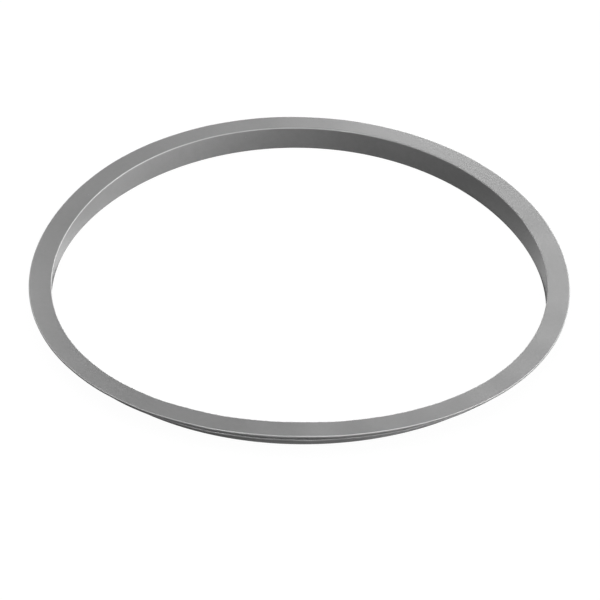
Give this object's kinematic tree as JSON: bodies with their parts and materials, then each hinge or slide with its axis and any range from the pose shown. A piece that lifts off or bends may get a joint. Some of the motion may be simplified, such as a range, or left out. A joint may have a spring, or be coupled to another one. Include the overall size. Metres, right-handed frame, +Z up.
{
  "type": "pressure cooker sealing ring",
  "caption": "Round sealing ring for a pressure cooker lid: a flat outward flange and a thinner sealing lip around a short upright leg, moulded in one piece.",
  "frame": {"origin": "on the ring's axis, in the plane of the foot of the leg, on which the ring stands", "axes": "+Z up along the ring's axis, from the foot to the flat top face; X and Y are any two radii, because the ring is round"},
  "size_m": [0.24, 0.24, 0.0108],
  "materials": {
    "silicone": "matte, slightly silky, mid grey moulded silicone"
  },
  "bodies": {
    "root": {"sealing_ring": "silicone"}
  },
  "joints": []
}
